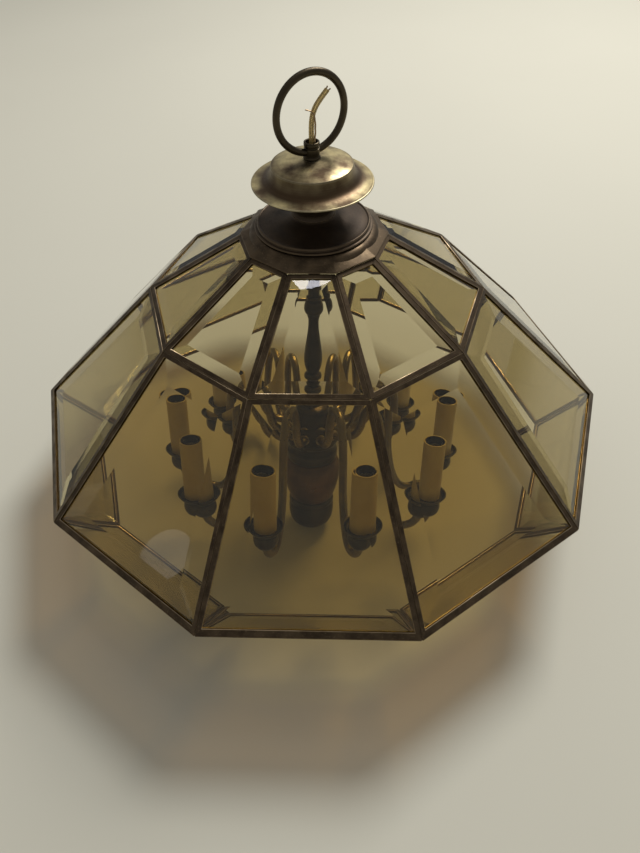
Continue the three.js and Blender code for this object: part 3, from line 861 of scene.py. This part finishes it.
def glass_cage():
    """Thirty channels and the skirt's ten bevelled panes."""
    for tier, (lower, upper, low_kind, high_kind) in TIERS.items():
        loops = came_loops(lower, upper, low_kind, high_kind)
        corners = [corner for loop in loops for corner in loop]
        faces = [list(reversed(face)) for face in ring_faces(loops, True)]
        for side in range(SIDES):
            place = face_place(lower, upper, side)
            made = piece(
                f"{tier}_came_{side + 1}", corners, faces, "came_bronze", "cage",
                [f"{tier}_came_frame"], place, smooth=30,
            )
            soften(made, 0.75, 1, 35, CAME_EDGE)
    lower, upper = SKIRT_EDGE, RIM
    edge = (PANE_INSET, PANE_INSET, PANE_INSET + RIM_STEP)
    face = tuple(inset + SKIRT_BEVEL for inset in edge)
    loops = [
        face_outline(lower, upper, edge, -PANE_BACK),
        face_outline(lower, upper, edge, GLASS_EDGE - PANE_BACK),
        face_outline(lower, upper, face, GLASS_THICKNESS - PANE_BACK),
    ]
    faces = ring_faces(loops, False) + [[3, 2, 1, 0], [8, 9, 10, 11]]
    corners = [corner for loop in loops for corner in loop]
    for side in range(SIDES):
        place = face_place(lower, upper, side)
        piece(
            f"skirt_pane_{side + 1}", corners, faces, "smoked_glass", "cage",
            ["skirt_glass"], place, smooth=5,
        )


def cage_corner(level, i):
    angle = vertex_angle(i)
    return Vector((level[0] * math.cos(angle), level[0] * math.sin(angle), level[1]))


def solder_seams():
    """A dark fillet of solder sunk in each joint between two channels."""
    levels = {"skirt_edge": SKIRT_EDGE, "rim": RIM, "shoulder": SHOULDER, "collar": COLLAR}
    ribs = {"skirt_ribs": ("skirt_edge", "rim"), "middle_ribs": ("rim", "shoulder"),
            "upper_ribs": ("shoulder", "collar")}
    runs = {}
    for name, (low, high) in ribs.items():
        runs[name] = [
            (cage_corner(levels[low], i), cage_corner(levels[high], i)) for i in range(SIDES)
        ]
    for name in ("rim", "shoulder"):
        runs[f"{name}_joint"] = [
            (cage_corner(levels[name], i), cage_corner(levels[name], i + 1)) for i in range(SIDES)
        ]
    deep, wide = SOLDER_HALF_DEPTH, SOLDER_HALF_WIDTH
    section = [(-deep, -wide), (deep, -wide), (deep, wide), (-deep, wide)]
    for name, edges in runs.items():
        strips = []
        for start, end in edges:
            middle = (start + end) / 2
            flat = Vector((middle.x, middle.y, 0)).normalized()
            along = (end - start).normalized()
            lift = {"rim_joint": 0.0, "skirt_ribs": -0.62}.get(name, 0.62)
            inward = -(flat * 0.75 + Vector((0, 0, lift))).normalized()
            inward = (inward - along * inward.dot(along)).normalized()
            sunk, short = inward * SOLDER_SINK, along * SOLDER_END_GAP
            strips.append(sweep([start + sunk + short, end + sunk - short], section, inward))
        piece(f"solder_{name}", *joined(*strips), "came_bronze", "cage", material=SOLDER)


# ---- Candle cluster ---------------------------------------------------------------------------------


def cluster_turning(name, outline, finish, nodes, steps, material=None):
    """A body turned about the cluster's axis. Outline points are (radius, depth below the pivot)."""
    shape = lathe([(radius, -depth) for radius, depth in outline], steps)
    return piece(name, *shape, finish, "cluster", nodes, CLUSTER, material)


def cluster_body():
    cluster_turning("column_shaft", curved([
        (0, 15), (0, 15), (10.6, 15), (10.6, 15), (11, 16), (10.6, 17), (7.5, 19), (6.2, 24),
        (6, 36), (6.1, 49), (6.1, 49), (7.8, 50), (8.2, 52), (7.4, 54), (7.4, 54), (9.4, 57),
        (10.2, 61), (10.1, 65), (8.4, 68.6), (6.4, 70.6), (6.4, 70.6), (6.9, 71.6), (6.4, 72.8),
        (6.4, 72.8), (5.6, 77), (5.9, 86), (7.6, 99), (9.5, 112), (10.1, 121), (9.3, 129),
        (7.2, 136), (6.6, 138), (6.6, 138), (9.2, 139.6), (9.8, 142.2), (9.2, 144.8), (6.8, 146.4),
        (6.8, 146.4), (6.3, 150), (6.8, 157), (8.4, 164), (9.3, 171), (9.5, 182.7), (9.5, 182.7),
        (0, 182.7), (0, 182.7),
    ], 3), "dark_bronze", ["column"], 40)
    cluster_turning("column_clevis_collar", curved([
        (0, 12.6), (0, 12.6), (9, 12.6), (9, 12.6), (9.8, 13.6), (9, 14.7), (9, 14.7), (0, 14.7),
        (0, 14.7),
    ], 3), "dark_bronze", [], 32)
    cluster_turning("arm_hub_dome", curved([
        (0, 183), (0, 183), (10.5, 183), (10.5, 183), (11.8, 184.4), (12.6, 187), (12.6, 187),
        (17.4, 189.6), (18.9, 192.4), (18.9, 192.4), (19.6, 196), (22.4, 199.6), (25.6, 203),
        (27.6, 208), (28.3, 214), (28.6, 219.6), (28.6, 219.6), (29.8, 220.8), (30.2, 223.2),
        (29.6, 225.4), (27.4, 226.6), (27.4, 226.6), (26.5, 229.4), (26.8, 232.4), (28.6, 235.4),
        (28.6, 235.4), (29.9, 237), (30.1, 241), (29.9, 245), (28.8, 247), (28, 247.5), (28, 247.5),
        (0, 247.5), (0, 247.5),
    ], 3), "dark_bronze", ["arm_hub"], 64)
    cluster_turning("urn_shell", curved([
        (0, 247.8), (0, 247.8), (28, 247.8), (28, 247.8), (30.8, 250.2), (33, 256), (33.6, 265),
        (33, 276), (30.6, 289), (27.6, 298.6), (25.6, 303.5), (25.6, 303.5), (0, 303.5), (0, 303.5),
    ], 4), "antique_brass", ["hub_urn"], 64, material=REDDISH_BRASS)
    cluster_turning("foot_cup", curved([
        (0, 303.8), (0, 303.8), (24.4, 303.8), (24.4, 303.8), (26.6, 305.4), (27.4, 308.6),
        (26.8, 311.4), (26.8, 311.4), (27.5, 318), (27.2, 327), (25.8, 334.6), (23.4, 339.6),
        (20, 343), (20, 343), (6, 343), (0, 343), (0, 343),
    ], 4), "dark_bronze", ["lower_cup"], 64)


ARM_ROUTE = [
    (17, 210), (25, 210), (36, 210), (47, 206), (56, 193), (61, 173), (69, 158.5), (80, 154),
    (91, 159), (98, 174), (101, 200), (104, 236), (112, 268), (123, 286.5), (135.5, 289),
    (147, 281.5), (153.5, 271), (155, 262),
]


def light(i):
    """One arm with its port collar, cup, drip pan, socket and candle sleeve."""
    place = CLUSTER @ Matrix.Rotation(arm_angle(i), 4, "Z")
    number = i + 1

    def add(name, shape, finish, nodes=(), material=None, smooth=40):
        return piece(f"{name}_{number}", *shape, finish, "cluster", nodes, place, material, smooth)

    def turned(outline, steps=40):
        return lathe([(radius, -depth) for radius, depth in outline], steps, (CANDLE_CIRCLE, 0))

    route = curved([(reach, 0, -depth) for reach, depth in ARM_ROUTE], 5)
    tube = sweep(route, circle(ARM_RADIUS, 16), (0, 1, 0))
    add("arm_tube", tube, "antique_brass", [f"arm_{number}"], ARM_BRASS)
    collar_ring = [(29.4, 0, -210), (31.4, 0, -210)]
    add("arm_collar", sweep(collar_ring, circle(6, 20), (0, 1, 0)), "antique_brass", (), ARM_BRASS)
    cup = curved([
        (0, 268.6), (0, 268.6), (3.6, 268.4), (5, 267.4), (5.2, 266), (5.2, 266), (8.4, 264.6),
        (11.6, 260.6), (12.9, 255.6), (12.5, 250.6), (11, 247.2), (11, 247.2), (11.8, 246.5),
        (11, 245.8), (11, 245.8), (0, 245.8), (0, 245.8),
    ], 3)
    add("candle_cup", turned(cup), "dark_bronze")
    pan = curved([
        (0, 245.6), (0, 245.6), (11.6, 245.4), (15, 243.8), (17.2, 240.6), (17.8, 238.6),
        (18.3, 238.2), (18.3, 238.9), (17.9, 239.4), (18.1, 238.4), (17.4, 238.2), (16.4, 240.4),
        (14.2, 242.4), (12, PAN_FLOOR), (12, PAN_FLOOR), (0, PAN_FLOOR), (0, PAN_FLOOR),
    ], 2)
    add("drip_pan", turned(pan, 48), "dark_bronze")
    insulator = curved([
        (9.4, PAN_FLOOR), (9.4, PAN_FLOOR), (9.4, SOCKET_TOP + 0.8), (9.2, SOCKET_TOP + 0.2),
        (8.6, SOCKET_TOP), (7.9, SOCKET_TOP), (7.3, SOCKET_TOP + 0.3), (7.1, SOCKET_TOP + 1),
        (7.1, SOCKET_TOP + SOCKET_DEPTH), (7.1, SOCKET_TOP + SOCKET_DEPTH),
        (0, SOCKET_TOP + SOCKET_DEPTH), (0, SOCKET_TOP + SOCKET_DEPTH), (0, PAN_FLOOR), (0, PAN_FLOOR),
    ], 2)
    add("socket_body", turned(insulator, 32), "dark_bronze", material=BAKELITE)
    top, bottom = SOCKET_TOP + 4, SOCKET_TOP + SOCKET_DEPTH - 4
    threads = [(7, top), (7, bottom), (6.3, bottom)]
    turns = 9
    for k in range(turns):
        depth = bottom - (bottom - top) * (k + 0.5) / turns
        threads += [(6.6, depth + 0.5), (6.2, depth), (6.6, depth - 0.5)]
    threads += [(6.4, top)]
    add("socket_shell", turned(threads, 28), "antique_brass", smooth=50)
    floor_depth = SOCKET_TOP + SOCKET_DEPTH - 0.3
    contact = [(0, floor_depth), (3.2, floor_depth), (3, floor_depth - 1.2), (1.4, floor_depth - 2.6),
               (0, floor_depth - 3)]
    add("socket_contact", turned(contact, 20), "antique_brass")
    add_sleeve(i, place)


def add_sleeve(i, place):
    """Card tube, slightly out of round and out of straight. One has a chip out of its rim."""
    chance = random.Random(71 + i)
    bend = [chance.uniform(-0.35, 0.35) for _ in range(4)]
    steps, levels = 64, 14
    inner = SLEEVE_RADIUS - SLEEVE_WALL
    vertices = []
    for wall in (SLEEVE_RADIUS, inner):
        for level in range(levels + 1):
            t = level / levels
            for k in range(steps):
                angle = 2 * math.pi * k / steps
                depth = SLEEVE_BOTTOM + (SLEEVE_TOP - SLEEVE_BOTTOM) * t
                if i == CHIPPED and level == levels:
                    away = math.remainder(angle - CHIP_BEARING, 2 * math.pi)
                    depth += CHIP_DEPTH * max(0.0, 1 - (away / CHIP_HALF_ANGLE) ** 2)
                    nick = abs(away - NICK_OFFSET) / NICK_HALF_ANGLE
                    depth += NICK_DEPTH * max(0.0, 1 - nick)
                out = wall + 0.12 * bend[2] * math.cos(2 * angle + 3 * bend[3])
                x = CANDLE_CIRCLE + out * math.cos(angle) + bend[0] * t * t
                y = out * math.sin(angle) + bend[1] * t * t
                vertices.append((x, y, -depth))
    faces = []
    rows = levels + 1
    for wall in range(2):
        for level in range(levels):
            for k in range(steps):
                n = (k + 1) % steps
                low = (wall * rows + level) * steps
                quad = [low + k, low + n, low + steps + n, low + steps + k]
                faces.append(quad if wall == 0 else quad[::-1])
    for k in range(steps):
        n = (k + 1) % steps
        top, top_in = levels * steps, (rows + levels) * steps
        faces.append([top + k, top + n, top_in + n, top_in + k])
        faces.append([rows * steps + k, rows * steps + n, n, k])
    piece(
        f"sleeve_tube_{i + 1}", vertices, faces, "candle_ivory", "cluster",
        [f"candle_sleeve_{i + 1}"], place, smooth=50,
    )


# ---- Assembly -----------------------------------------------------------------------------------------


def finish_frame_nodes():
    """CAD nodes that stay shown take the procedural finish of their slot."""
    slots = {entry["node"]: entry["material_slot"] for entry in frame["record"]["subparts"]}
    for name, node in frame["nodes"].items():
        node.data.materials.clear()
        node.data.materials.append(FINISHES[slots[name]])


finish_frame_nodes()
hanging_ring()
loop_hub()
canopy()
spool()
base_disc()
collar()
glass_cage()
solder_seams()
cluster_body()
for number in range(SIDES):
    light(number)

low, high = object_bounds()
set_room(low[2] - FLOOR_GAP)
